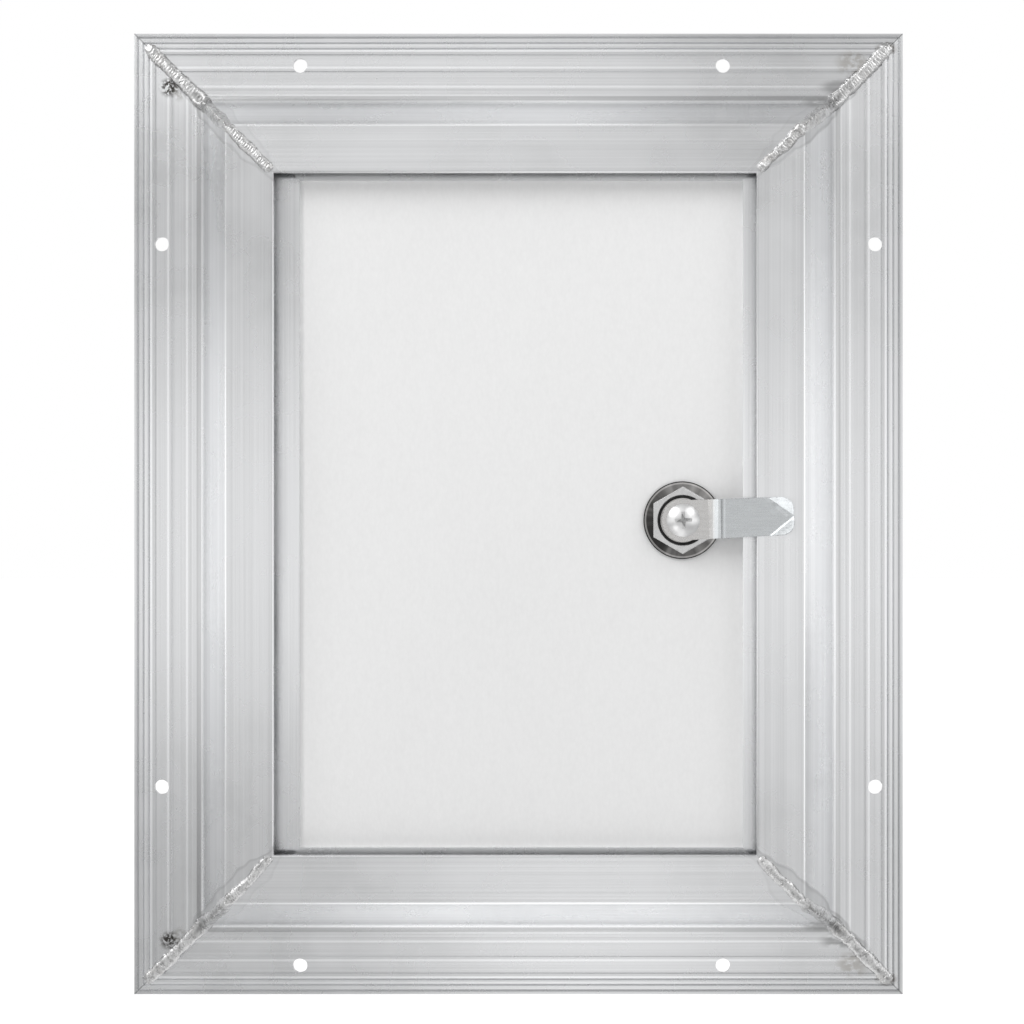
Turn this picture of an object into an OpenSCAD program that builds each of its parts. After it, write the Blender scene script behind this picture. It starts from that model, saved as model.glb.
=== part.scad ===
// Baggage door of a caravan: welded wall frame, sandwich leaf, continuous hinge and cam lock.
// X runs to the right seen from inside, Z up and +Y outwards. The flange bears on the wall at y = 0.

/* [Frame] */
// Width of the frame over its flanges
frame_w = 304.8; // [290:0.2:460]
// Height of the frame over its flanges
frame_h = 381; // [340:0.2:620]
// Thickness of the flange from its bearing ribs to its front face
flange_t = 3.6; // [3.4:0.1:5]
// Wall thickness of the frame section
frame_wall = 1.8; // [1.4:0.1:2.2]
// Depth of the frame behind the bearing face, to suit the caravan wall
frame_depth = 24; // [22:0.5:34]
// Distance in from the outer edge to the foot of the sloping side
slope_foot = 27; // [26.5:0.1:29]
// Distance in to the shoulder, where the slope meets the lip
shoulder_in = 41.7; // [40.5:0.1:44]
// Distance in to the jamb, the inner face that the leaf closes into
rebate_in = 40; // [39:0.1:41]
// Distance in to the free edge of the lip
stop_in = 60.2; // [59:0.1:64]
// Radius of the cove at the foot of the slope
cove_r = 5.35; // [3:0.05:6]
// Radius of the shoulder
shoulder_r = 1; // [0.6:0.1:1.6]
// Radius of the lip's free edges
lip_edge_r = 0.7; // [0.3:0.05:0.85]
// Radius of the outer front corner
outer_r = 1.2; // [0.6:0.1:1.6]

/* [Flange profile] */
// Number of fine grooves that hold the sealant
groove_count = 3; // [1:1:3]
// Distance in to the first groove
groove_first = 1.5; // [1.4:0.1:1.7]
// Distance from groove to groove
groove_pitch = 2.2; // [1.2:0.1:2.2]
// Width of a groove
groove_w = 0.9; // [0.5:0.1:1]
// Depth of a groove
groove_d = 0.6; // [0.3:0.1:0.7]
// Distance in to the outer bearing rib
outer_rib_in = 6.9; // [6.8:0.1:7.2]
// Distance in to the middle bearing rib
mid_rib_in = 13.5; // [13:0.1:14]
// Distance in to the inner bearing rib
inner_rib_in = 20.9; // [20:0.1:21.2]
// Width of a bearing rib
rib_w = 1.3; // [0.8:0.1:1.4]
// Depth of the lands between the ribs
land_d = 0.5; // [0.3:0.1:0.7]
// Width of the mouth of the screw cover channel
channel_w = 9.8; // [8:0.1:10.2]
// Depth of the screw cover channel
channel_d = 1.7; // [1.2:0.1:1.9]
// Undercut that holds the edge of the cover strip
channel_lip = 0.6; // [0.3:0.1:0.8]
// Height of the undercut above the channel floor
channel_lip_h = 0.8; // [0.4:0.1:0.9]

/* [Fixing holes] */
// Diameter of a fixing hole
screw_hole_d = 5.7; // [4:0.1:6.5]
// Distance in from the outer edge to the middle of the screw cover channel
channel_in = 11.5; // [11:0.1:12]
// Distance in from the outer edge to the holes in the side members
side_screw_in = 10.8; // [10.5:0.1:12]
// Distance in from the outer edge to the holes in the top and in the bottom member
end_screw_in = 11.9; // [10.5:0.1:12]
// Distance between the two holes in the top and in the bottom member
screw_x_pitch = 167.8; // [120:0.2:240]
// Sideways offset of those four holes from the frame's middle
screw_x_offset = -2.8; // [-5:0.1:5]
// Distance between the two holes in each side member
screw_z_pitch = 215.5; // [150:0.5:400]
// Height of all the hole patterns' middle over the frame's middle
screw_z_offset = -0.6; // [-1:0.1:1]

/* [Weld beads] */
// Width of a bead
weld_w = 5.4; // [3:0.1:6.5]
// Height of a bead above the metal
weld_h = 1.3; // [0.6:0.1:2]
// Share of its height by which a bead rises and falls
weld_ripple = 0.22; // [0.05:0.01:0.35]
// Distance from ripple to ripple, measured along the flange
weld_pitch = 2.3; // [1.6:0.1:4]
// Distance in at which a bead starts
weld_from = 6; // [4:0.5:12]

/* [Seal] */
// Width of the bulb seal on the lip
seal_w = 8; // [5:0.1:9]
// Height of the seal's flat foot
seal_foot = 0.9; // [0.5:0.1:1.5]
// Wall thickness round the seal's hollow
seal_wall = 1.2; // [0.8:0.1:1.8]
// Distance from the lip's free edge to the seal
seal_back = 4.2; // [2:0.1:5]
// Clearance between the seal and the closed leaf
seal_gap = 0.3; // [0.2:0.1:1]

/* [Leaf] */
// Gap between the leaf and the jamb at the hinge side
gap_hinge = 5.5; // [5:0.1:6]
// Gap between the leaf and the jamb at the lock side
gap_lock = 3.5; // [3:0.1:6]
// Gap between the leaf and the jambs at its top and bottom
gap_ends = 3; // [2.5:0.1:6]
// Wall thickness of the edge rails
rail_wall = 1.6; // [1.2:0.1:2]
// Width of the hinge stile's inside face
stile_hinge_w = 23.3; // [20:0.1:30]
// Width of the lock stile's inside face
stile_lock_w = 21.3; // [20:0.1:30]
// Width of the top and bottom rails' inside faces
rail_end_w = 18.6; // [17:0.1:20]
// Amount by which the rails' outside faces are narrower
rail_front_less = 5; // [3:0.5:7]
// Thickness of the panel's skins
skin_t = 0.8; // [0.5:0.1:1.5]

/* [Hinge] */
// Distance from the frame's ends to the continuous hinge's ends
hinge_in = 47.9; // [45:0.1:65]
// Number of knuckles
knuckle_count = 23; // [11:2:31]
// Gap between neighbouring knuckles
knuckle_gap = 0.4; // [0.3:0.1:0.8]
// Diameter of the knuckles
knuckle_d = 4.8; // [4.6:0.1:5]
// Diameter of the hinge pin
pin_d = 2.7; // [2:0.1:3]
// Clearance round the pin
pin_gap = 0.05; // [0.03:0.01:0.1]
// Thickness of the hinge plates
plate_t = 1; // [0.8:0.1:1.4]
// Width of a hinge plate beside the knuckles
plate_w = 10; // [8:0.5:12]

/* [Lock] */
// Distance in from the outer edge of the frame to the lock's centre
lock_in = 88.2; // [86:0.1:110]
// Distance of the lock below the middle of the frame
lock_drop = 2.4; // [-40:0.1:40]
// Diameter of the lock barrel
barrel_d = 19.05; // [18.5:0.05:19.5]
// Clearance of the barrel's hole in the panel
barrel_gap = 0.1; // [0.05:0.05:0.3]
// Diameter of the flange outside the door
barrel_flange_d = 25.4; // [24:0.1:28]
// Thickness of that flange
barrel_flange_t = 3.5; // [2:0.1:4]
// Diameter of the washer
washer_d = 30; // [28:0.1:32]
// Thickness of the washer
washer_t = 1.2; // [0.8:0.1:1.4]
// Width of the nut across its flats
nut_af = 22.5; // [22:0.1:24]
// Thickness of the nut
nut_t = 4.2; // [3:0.1:4.4]
// Diameter of the key plug
plug_d = 12; // [10:0.1:13]
// Running clearance of the plug in the barrel
plug_gap = 0.05; // [0.03:0.01:0.1]
// Width of the square end that drives the cam
drive_w = 7.4; // [6:0.1:8]
// Length of the key slot
key_slot_l = 7; // [5:0.5:8]
// Width of the key slot
key_slot_w = 1.8; // [1:0.1:2.5]

/* [Cam] */
// Thickness of the cam plate
cam_t = 2; // [1.6:0.1:2.4]
// Gap between the cam and the nut, and between the cam and the lip
cam_gap = 0.5; // [0.3:0.1:0.8]
// Radius of the cam's round end
cam_hub_r = 8.2; // [7.5:0.1:9]
// Width of the cam where its arm begins
cam_root_w = 15.4; // [14:0.1:16]
// Width of the cam where its tip begins
cam_neck_w = 14.6; // [13:0.1:15.4]
// Distance from the lock's centre to the foot of the joggle
joggle_from = 9.9; // [9:0.1:11]
// Length of the joggle
joggle_l = 4.2; // [3:0.1:6]
// Reach of the cam past the lip's free edge
cam_bite = 14.1; // [10:0.1:16]
// Length of the tip, from the fold lines' start
cam_tip_l = 9.8; // [8:0.1:12]
// Radius of the tip
cam_tip_r = 5; // [4:0.1:6]
// Angle by which the tip's corners are turned away from the lip
ramp_angle = 26; // [10:1:35]
// Tilt of the locked cam
cam_tilt = 2.5; // [0:0.5:5]
// Diameter of the screw head on the cam
screw_head_d = 12.7; // [10:0.1:13.5]
// Height of the screw head
screw_head_h = 3.4; // [2.5:0.1:4]
// Diameter of the screw's shank
screw_d = 4; // [3:0.1:5]
// Length of the screw's shank
screw_l = 9; // [6:0.5:12]
// Size of the screw's cross recess
cross_l = 6.4; // [5:0.1:7]

/* [Hidden] */
$fn = 48;

mill_finish = [0.78, 0.79, 0.8];
weld_grey = [0.7, 0.69, 0.66];
seal_black = [0.08, 0.08, 0.08];
panel_white = [0.93, 0.93, 0.92];
zinc_grey = [0.66, 0.67, 0.69];
washer_grey = [0.45, 0.46, 0.48];
nickel = [0.74, 0.72, 0.68];
foam_cream = [0.9, 0.87, 0.75];

// Room that cutters run past the faces they cut
past = 1;

// The frame section: s is the distance in from the outer edge, y the depth
slope_run = shoulder_in - slope_foot;
slope_dir = [slope_run, -frame_depth] / norm([slope_run, frame_depth]);
slope_shift = frame_wall * norm([slope_run, frame_depth]) / frame_depth;
lip_front = -frame_depth + frame_wall;
bezel_back = flange_t - frame_wall;
cove_reach = cove_r / tan(acos(-slope_dir[0]) / 2);
shoulder_reach = shoulder_r / tan(acos(-slope_dir[0]) / 2);
channel_floor = flange_t - channel_d;

function slope_y(s) = -(s - slope_foot) * frame_depth / slope_run;
function slope_s(y) = slope_foot - y * slope_run / frame_depth;

// Height of the frame's inside face at s, with the lands between the ribs left out
function face_y(s) =
    s < slope_foot - cove_reach ? 0 :
    s < slope_foot + cove_reach * slope_dir[0]
        ? sqrt(pow(cove_r, 2) - pow(s - slope_foot + cove_reach, 2)) - cove_r :
    s < shoulder_in - shoulder_reach * slope_dir[0] ? slope_y(s) :
    s < shoulder_in + shoulder_reach
        ? shoulder_r - frame_depth - sqrt(pow(shoulder_r, 2) - pow(s - shoulder_in - shoulder_reach, 2)) :
    -frame_depth;

// A bead keeps off the rounded shoulder by this much, and has a ring at about each step
weld_seat = 0.05;
weld_step = 0.46;

// The seal and the leaf, worked out from the lip towards the outside
seal_h = seal_foot + seal_w / 2;
leaf_back = lip_front + seal_h + seal_gap;
leaf_front = flange_t;
leaf_left = -frame_w / 2 + rebate_in + gap_hinge;
leaf_right = frame_w / 2 - rebate_in - gap_lock;
leaf_bottom = rebate_in + gap_ends;
leaf_top = frame_h - leaf_bottom;
panel_back = leaf_back + rail_wall;
panel_front = leaf_front - rail_wall;

// The hinge turns over the gap beside the leaf
hinge_x = leaf_left - gap_hinge / 2;
hinge_y = leaf_front + knuckle_d / 2 - 0.1;
hinge_l = frame_h - 2 * hinge_in;
knuckle_pitch = hinge_l / knuckle_count;

// The lock, worked out from the panel's inside face towards the inside
lock_x = frame_w / 2 - lock_in;
lock_z = frame_h / 2 - lock_drop;
washer_back = panel_back - washer_t;
nut_back = washer_back - nut_t;
barrel_back = nut_back + 0.6;
hub_front = nut_back - cam_gap;
hub_back = hub_front - cam_t;
arm_front = -frame_depth - cam_gap;
arm_back = arm_front - cam_t;
cam_l = lock_in - stop_in + cam_bite;
fold_from = cam_l - cam_tip_l;

function unit(v) = v / norm(v);

// The sliver between a corner and the arc that rounds it; a and b point along the corner's two sides
module corner_web(p, a, b, r) {
    half = acos(unit(a) * unit(b)) / 2;
    reach = r / tan(half);
    centre = p + unit(unit(a) + unit(b)) * r / sin(half);
    difference() {
        polygon([p, p + unit(a) * reach, centre, p + unit(b) * reach]);
        translate(centre) circle(r);
    }
}

// A section in s and y, run along Z for a length and mitred at both ends
module mitred(length, inner) {
    intersection() {
        linear_extrude(length) children();
        translate([0, flange_t + past, 0])
            rotate([90, 0, 0])
            linear_extrude(flange_t + frame_depth + 2 * past)
            polygon([[0, 0], [inner, inner], [inner, length - inner], [0, length]]);
    }
}

module at_left() {
    translate([-frame_w / 2, 0, 0]) children();
}

module at_right() {
    mirror([1, 0, 0]) at_left() children();
}

module at_bottom() {
    translate([frame_w / 2, 0, 0]) rotate([0, -90, 0]) children();
}

module at_top() {
    translate([0, 0, frame_h]) mirror([0, 0, 1]) at_bottom() children();
}

module frame_section() {
    mouth_from = channel_in - channel_w / 2;
    difference() {
        union() {
            polygon([
                [0, 0],
                [slope_foot, 0],
                [shoulder_in, -frame_depth],
                [stop_in, -frame_depth],
                [stop_in, lip_front],
                [slope_s(lip_front) + slope_shift, lip_front],
                [rebate_in, slope_y(rebate_in - slope_shift)],
                [rebate_in, flange_t],
                [0, flange_t]
            ]);
            corner_web([slope_foot, 0], [-1, 0], slope_dir, cove_r);
        }
        polygon([
            [slope_s(bezel_back) + slope_shift, bezel_back],
            [rebate_in - frame_wall, bezel_back],
            [rebate_in - frame_wall, slope_y(rebate_in - frame_wall - slope_shift)]
        ]);
        for (i = [0 : groove_count - 1])
            translate([groove_first + i * groove_pitch, 0])
            polygon([[-groove_w / 2, 0], [groove_w / 2, 0], [0, groove_d]]);
        translate([outer_rib_in + rib_w, -past])
            square([mid_rib_in - outer_rib_in - rib_w, land_d + past]);
        translate([mid_rib_in + rib_w, -past])
            square([inner_rib_in - mid_rib_in - rib_w, land_d + past]);
        translate([mouth_from, channel_floor])
            square([channel_w, channel_d + past]);
        translate([mouth_from - channel_lip, channel_floor])
            square([channel_w + 2 * channel_lip, channel_lip_h]);
        corner_web([0, flange_t], [0, -1], [1, 0], outer_r);
        corner_web([shoulder_in, -frame_depth], -slope_dir, [1, 0], shoulder_r);
        corner_web([stop_in, -frame_depth], [-1, 0], [0, 1], lip_edge_r);
        corner_web([stop_in, lip_front], [-1, 0], [0, -1], lip_edge_r);
    }
}

// One side of the frame, with its two fixing holes
module frame_member(length, hole_in, hole_pitch, hole_offset) {
    difference() {
        mitred(length, stop_in + past) frame_section();
        for (end = [-1, 1])
            translate([hole_in, 0, length / 2 + hole_offset + end * hole_pitch / 2])
            rotate([90, 0, 0])
            cylinder(d = screw_hole_d, h = 4 * flange_t, center = true);
    }
}

module frame_top() {
    color(mill_finish) at_top()
        frame_member(frame_w, end_screw_in - screw_z_offset, screw_x_pitch, -screw_x_offset);
}

module frame_bottom() {
    color(mill_finish) at_bottom()
        frame_member(frame_w, end_screw_in + screw_z_offset, screw_x_pitch, -screw_x_offset);
}

module frame_left() {
    color(mill_finish) at_left() frame_member(frame_h, side_screw_in, screw_z_pitch, screw_z_offset);
}

module frame_right() {
    color(mill_finish) at_right() frame_member(frame_h, side_screw_in, screw_z_pitch, screw_z_offset);
}

// One ring of a bead where the mitre is s from both outer edges. Its points go from one toe over the
// crown to the other toe, and back under the bead on the metal, with a bend where that turns at the shoulder.
function weld_ring(s, swell) =
    let (
        half = weld_w * (1 + swell / 3) / sqrt(8),
        steep = face_y(s - half) - face_y(s + half) > half ? 1.45 : 1,
        crown = weld_h * steep * (1 + swell),
        haunch = 0.6 * half,
        bend = max(0.15 * half, min(0.85 * half, s - shoulder_in))
    )
    [
        [s - half, face_y(s - half) - weld_seat, s + half],
        [s - haunch, face_y(s - haunch) - 0.7 * crown, s + haunch],
        [s, face_y(s) - crown, s],
        [s + haunch, face_y(s - haunch) - 0.7 * crown, s - haunch],
        [s + half, face_y(s - half) - weld_seat, s - half],
        [s + bend, face_y(s - bend) - weld_seat, s - bend],
        [s, face_y(s) - weld_seat, s],
        [s - bend, face_y(s - bend) - weld_seat, s + bend]
    ];

// A rippled bead along the mitre, over the flange, up the slope's hip and along the lip
module weld_bead() {
    sides = 8;
    crown = 2;
    last = round((stop_in - 1 - weld_from) / weld_step);
    step = (stop_in - 1 - weld_from) / last;
    rings = [
        for (i = [0 : last])
            weld_ring(weld_from + i * step, (i == 0 || i == last)
                ? -0.5
                : weld_ripple * sin(360 * i * step / weld_pitch))
    ];
    polyhedron(
        points = [for (ring = rings) each ring],
        faces = [
            for (k = [1 : sides - 2])
                [crown, (crown + k + 1) % sides, (crown + k) % sides],
            for (i = [0 : last - 1])
                for (k = [0 : sides - 1])
                    let (a = i * sides, b = a + sides, n = (k + 1) % sides)
                    each [[a + k, a + n, b + k], [a + n, b + n, b + k]],
            for (k = [1 : sides - 2])
                last * sides * [1, 1, 1] + [crown, (crown + k) % sides, (crown + k + 1) % sides]
        ]
    );
}

module weld_top_left() {
    color(weld_grey) translate([-frame_w / 2, 0, frame_h]) mirror([0, 0, 1]) weld_bead();
}

module weld_top_right() {
    color(weld_grey) translate([frame_w / 2, 0, frame_h]) mirror([0, 0, 1]) mirror([1, 0, 0]) weld_bead();
}

module weld_bottom_left() {
    color(weld_grey) translate([-frame_w / 2, 0, 0]) weld_bead();
}

module weld_bottom_right() {
    color(weld_grey) translate([frame_w / 2, 0, 0]) mirror([1, 0, 0]) weld_bead();
}

// The bulb seal stands on the lip's outside face, with its crown to the leaf
module seal_section() {
    translate([stop_in - seal_back - seal_w / 2, lip_front])
        difference() {
            union() {
                translate([0, seal_foot]) circle(d = seal_w);
                translate([-seal_w / 2, 0]) square([seal_w, seal_foot]);
            }
            translate([0, seal_foot]) circle(d = seal_w - 2 * seal_wall);
            translate([-seal_w, -seal_w]) square([2 * seal_w, seal_w]);
        }
}

module seal_top() {
    color(seal_black) at_top() mitred(frame_w, stop_in) seal_section();
}

module seal_bottom() {
    color(seal_black) at_bottom() mitred(frame_w, stop_in) seal_section();
}

module seal_left() {
    color(seal_black) at_left() mitred(frame_h, stop_in) seal_section();
}

module seal_right() {
    color(seal_black) at_right() mitred(frame_h, stop_in) seal_section();
}

// Half of the continuous hinge; side is -1 for the frame's plate and 1 for the leaf's
module hinge_half(side, first) {
    translate([hinge_x, 0, hinge_in])
        difference() {
            union() {
                translate([side > 0 ? gap_hinge / 2 : -gap_hinge / 2 - plate_w, leaf_front, 0])
                    cube([plate_w, plate_t, hinge_l]);
                for (i = [first : 2 : knuckle_count - 1])
                    translate([0, 0, i * knuckle_pitch + knuckle_gap / 2]) {
                        translate([0, hinge_y, 0])
                            cylinder(d = knuckle_d, h = knuckle_pitch - knuckle_gap);
                        translate([side > 0 ? 0 : -gap_hinge / 2 - past, leaf_front, 0])
                            cube([gap_hinge / 2 + past, plate_t, knuckle_pitch - knuckle_gap]);
                    }
            }
            translate([0, hinge_y, -past])
                cylinder(d = pin_d + 2 * pin_gap, h = hinge_l + 2 * past);
        }
}

module hinge_plate_frame() {
    color(zinc_grey) hinge_half(-1, 0);
}

module hinge_plate_leaf() {
    color(zinc_grey) hinge_half(1, 1);
}

module hinge_pin() {
    color(zinc_grey) translate([hinge_x, hinge_y, hinge_in]) cylinder(d = pin_d, h = hinge_l);
}

// The channel that edges the leaf, with its back to the outside of the leaf
module rail_section(face) {
    difference() {
        translate([0, leaf_back]) square([face, leaf_front - leaf_back]);
        translate([rail_wall, panel_back]) square([face, panel_front - panel_back]);
        translate([face - rail_front_less, panel_front - past])
            square([face, rail_wall + 2 * past]);
    }
}

// Keeps what lies over the given outline in X and Z
module over_outline(points) {
    intersection() {
        children();
        translate([0, leaf_front + past, 0])
            rotate([90, 0, 0])
            linear_extrude(leaf_front - leaf_back + 2 * past)
            polygon(points);
    }
}

// The wider stiles run past the rails, and from there the joint is a 45 degree mitre
module leaf_stile(face, length) {
    extra = face - rail_end_w;
    over_outline([
        [0, 0], [extra, 0], [face, rail_end_w],
        [face, length - rail_end_w], [extra, length], [0, length]
    ])
        linear_extrude(length) rail_section(face);
}

module leaf_rail() {
    start = leaf_left + stile_hinge_w - rail_end_w;
    end = leaf_right - stile_lock_w + rail_end_w;
    translate([0, 0, leaf_bottom])
        over_outline([
            [start, 0], [end, 0],
            [leaf_right - stile_lock_w, rail_end_w], [leaf_left + stile_hinge_w, rail_end_w]
        ])
        translate([end, 0, 0])
        rotate([0, -90, 0])
        linear_extrude(end - start)
        rail_section(rail_end_w);
}

module leaf_rail_bottom() {
    color(mill_finish) leaf_rail();
}

module leaf_rail_top() {
    color(mill_finish) translate([0, 0, frame_h]) mirror([0, 0, 1]) leaf_rail();
}

module leaf_stile_hinge() {
    color(mill_finish)
        translate([leaf_left, 0, leaf_bottom])
        leaf_stile(stile_hinge_w, leaf_top - leaf_bottom);
}

module leaf_stile_lock() {
    color(mill_finish)
        translate([leaf_right, 0, leaf_bottom])
        mirror([1, 0, 0])
        leaf_stile(stile_lock_w, leaf_top - leaf_bottom);
}

// One layer of the panel inside the rails, with the lock's hole
module panel_layer(back, front) {
    difference() {
        translate([leaf_left + rail_wall, back, leaf_bottom + rail_wall])
            cube([
                leaf_right - leaf_left - 2 * rail_wall,
                front - back,
                leaf_top - leaf_bottom - 2 * rail_wall
            ]);
        translate([lock_x, 0, lock_z])
            rotate([90, 0, 0])
            cylinder(d = barrel_d + 2 * barrel_gap, h = 4 * frame_depth, center = true);
    }
}

module inner_skin() {
    color(panel_white) panel_layer(panel_back, panel_back + skin_t);
}

module core() {
    color(foam_cream) panel_layer(panel_back + skin_t, panel_front - skin_t);
}

module outer_skin() {
    color(panel_white) panel_layer(panel_front - skin_t, panel_front);
}

// A round piece on the lock's axis, from one depth to a larger one
module on_lock(back, front, d) {
    translate([lock_x, back, lock_z])
        rotate([-90, 0, 0])
        cylinder(d = d, h = front - back);
}

module lock_barrel() {
    edge = 1;
    color(nickel)
        difference() {
            union() {
                on_lock(barrel_back, panel_front, barrel_d);
                translate([lock_x, panel_front, lock_z])
                    rotate([-90, 0, 0])
                    rotate_extrude()
                    polygon([
                        [0, 0], [barrel_flange_d / 2, 0],
                        [barrel_flange_d / 2, barrel_flange_t - edge],
                        [barrel_flange_d / 2 - edge, barrel_flange_t], [0, barrel_flange_t]
                    ]);
            }
            on_lock(barrel_back - past, panel_front + barrel_flange_t + past, plug_d + 2 * plug_gap);
        }
}

module lock_washer() {
    color(washer_grey)
        difference() {
            on_lock(washer_back, panel_back, washer_d);
            on_lock(washer_back - past, panel_back + past, barrel_d + 2 * barrel_gap);
        }
}

// The nut's points are up and down
module lock_nut() {
    color(zinc_grey)
        difference() {
            translate([lock_x, washer_back, lock_z])
                rotate([90, 0, 0])
                rotate([0, 0, 30])
                cylinder(d = nut_af / cos(30), h = nut_t, $fn = 6);
            on_lock(nut_back - past, washer_back + past, barrel_d + 2 * plug_gap);
        }
}

module lock_plug() {
    plug_front = panel_front + barrel_flange_t - 0.5;
    slot_d = 3;
    color(nickel)
        difference() {
            union() {
                on_lock(hub_front, plug_front, plug_d);
                translate([lock_x, (hub_front + hub_back) / 2, lock_z])
                    rotate([0, -cam_tilt, 0])
                    cube([drive_w, cam_t, drive_w], center = true);
            }
            translate([lock_x, plug_front, lock_z])
                cube([key_slot_w, 2 * slot_d, key_slot_l], center = true);
            on_lock(hub_back - past, hub_back + screw_l + past, screw_d + 2 * plug_gap);
        }
}

// The cam seen from inside, with u from the lock's centre along the arm
module cam_outline() {
    difference() {
        union() {
            circle(cam_hub_r);
            polygon([
                [0, -cam_root_w / 2], [fold_from, -cam_neck_w / 2], [cam_l, -cam_neck_w / 2],
                [cam_l, cam_neck_w / 2], [fold_from, cam_neck_w / 2], [0, cam_root_w / 2]
            ]);
        }
        corner_web([cam_l, cam_neck_w / 2], [-1, 0], [0, -1], cam_tip_r);
        corner_web([cam_l, -cam_neck_w / 2], [-1, 0], [0, 1], cam_tip_r);
        square(drive_w + 2 * plug_gap, center = true);
    }
}

// The cam seen from its edge: hub, joggle and arm
module cam_profile() {
    joggle_to = joggle_from + joggle_l;
    polygon([
        [-cam_hub_r - past, hub_front], [joggle_from, hub_front],
        [joggle_to, arm_front], [cam_l + past, arm_front],
        [cam_l + past, arm_back], [joggle_to, arm_back],
        [joggle_from, hub_back], [-cam_hub_r - past, hub_back]
    ]);
}

// One of the tip's corners, turned inwards about its fold line, which runs to the tip
module cam_corner(side) {
    turn = atan2(cam_neck_w / 2, cam_tip_l);
    intersection() {
        translate([fold_from, arm_back, side * cam_neck_w / 2])
            rotate([0, side * turn, 0])
            rotate([side * ramp_angle, 0, 0])
            translate([-past, 0, side > 0 ? -0.8 : -cam_neck_w])
            cube([cam_tip_l + cam_neck_w, cam_t, cam_neck_w + 0.8]);
        translate([0, arm_front, 0])
            rotate([90, 0, 0])
            linear_extrude(4 * cam_t)
            cam_outline();
    }
}

// The flat part of the tip between its fold lines
module cam_flat() {
    polygon([
        [-cam_hub_r - past, -cam_hub_r], [-cam_hub_r - past, cam_hub_r],
        [fold_from, cam_neck_w], [fold_from, cam_neck_w / 2],
        [cam_l, 0],
        [fold_from, -cam_neck_w / 2], [fold_from, -cam_neck_w]
    ]);
}

module cam() {
    color(nickel)
        translate([lock_x, 0, lock_z])
        rotate([0, -cam_tilt, 0]) {
            intersection() {
                translate([0, 0, -cam_root_w])
                    linear_extrude(2 * cam_root_w)
                    cam_profile();
                rotate([90, 0, 0])
                    linear_extrude(2 * frame_depth)
                    intersection() {
                        cam_outline();
                        cam_flat();
                    }
            }
            cam_corner(1);
            cam_corner(-1);
        }
}

// A domed screw with a cross recess
module cam_screw() {
    rim = 1;
    dome_r = (pow(screw_head_d / 2, 2) + pow(screw_head_h - rim, 2)) / (2 * (screw_head_h - rim));
    recess_d = 1.8;
    recess_w = 1.3;
    color(zinc_grey)
        difference() {
            union() {
                on_lock(hub_back, hub_back + screw_l, screw_d);
                intersection() {
                    on_lock(hub_back - screw_head_h - past, hub_back, screw_head_d);
                    translate([lock_x, hub_back - screw_head_h + dome_r, lock_z]) sphere(dome_r);
                }
            }
            translate([lock_x, hub_back - screw_head_h, lock_z])
                rotate([0, -cam_tilt, 0]) {
                    cube([cross_l, 2 * recess_d, recess_w], center = true);
                    cube([recess_w, 2 * recess_d, cross_l], center = true);
                }
        }
}

frame_top();
frame_bottom();
frame_left();
frame_right();
weld_top_left();
weld_top_right();
weld_bottom_left();
weld_bottom_right();
seal_top();
seal_bottom();
seal_left();
seal_right();
hinge_plate_frame();
hinge_pin();
leaf_rail_top();
leaf_rail_bottom();
leaf_stile_hinge();
leaf_stile_lock();
inner_skin();
core();
outer_skin();
hinge_plate_leaf();
lock_barrel();
lock_washer();
lock_nut();
lock_plug();
cam();
cam_screw();
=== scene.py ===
# Baggage door, seen from inside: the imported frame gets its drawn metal, weld beads, panel and lock hardware.
# Blender 4.5. Everything is in metres, +X right, +Y outwards, +Z up.
import math

import bmesh
import bpy
from mathutils import Matrix, Vector, noise


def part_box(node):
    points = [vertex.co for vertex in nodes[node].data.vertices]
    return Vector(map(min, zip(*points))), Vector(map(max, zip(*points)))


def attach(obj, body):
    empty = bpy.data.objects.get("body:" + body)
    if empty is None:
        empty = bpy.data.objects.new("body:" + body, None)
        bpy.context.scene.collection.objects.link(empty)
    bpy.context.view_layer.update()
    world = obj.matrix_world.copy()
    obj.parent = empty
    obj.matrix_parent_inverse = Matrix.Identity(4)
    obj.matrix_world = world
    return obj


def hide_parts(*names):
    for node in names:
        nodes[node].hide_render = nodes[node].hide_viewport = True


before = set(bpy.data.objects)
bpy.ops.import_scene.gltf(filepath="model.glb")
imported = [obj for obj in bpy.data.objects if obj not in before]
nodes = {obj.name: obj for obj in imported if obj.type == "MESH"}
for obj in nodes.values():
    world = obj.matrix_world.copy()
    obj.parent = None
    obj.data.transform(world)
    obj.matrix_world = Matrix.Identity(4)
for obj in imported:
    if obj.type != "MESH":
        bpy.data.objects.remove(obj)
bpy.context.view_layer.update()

# Places that the rest of the script works from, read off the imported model
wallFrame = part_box("frame_left")[0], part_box("frame_right")[1]
halfWidth = wallFrame[1][0]
height = wallFrame[1][2]
midHeight = height / 2
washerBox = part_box("lock_washer")
lockCentre = Vector(((washerBox[0][0] + washerBox[1][0]) / 2, 0, (washerBox[0][2] + washerBox[1][2]) / 2))
print("frame loaded:", len(nodes), "CAD nodes")


# Small helpers for node materials

def addNode(mat, kind, sockets=None, **settings):
    node = mat.node_tree.nodes.new("ShaderNode" + kind)
    for name, value in settings.items():
        setattr(node, name, value)
    for socket, value in (sockets or {}).items():
        if isinstance(value, bpy.types.NodeSocket):
            mat.node_tree.links.new(value, node.inputs[socket])
        else:
            node.inputs[socket].default_value = value
    return node


def calc(mat, operation, a, b=0.0, c=0.0):
    return addNode(mat, "Math", {0: a, 1: b, 2: c}, operation=operation).outputs[0]


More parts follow.
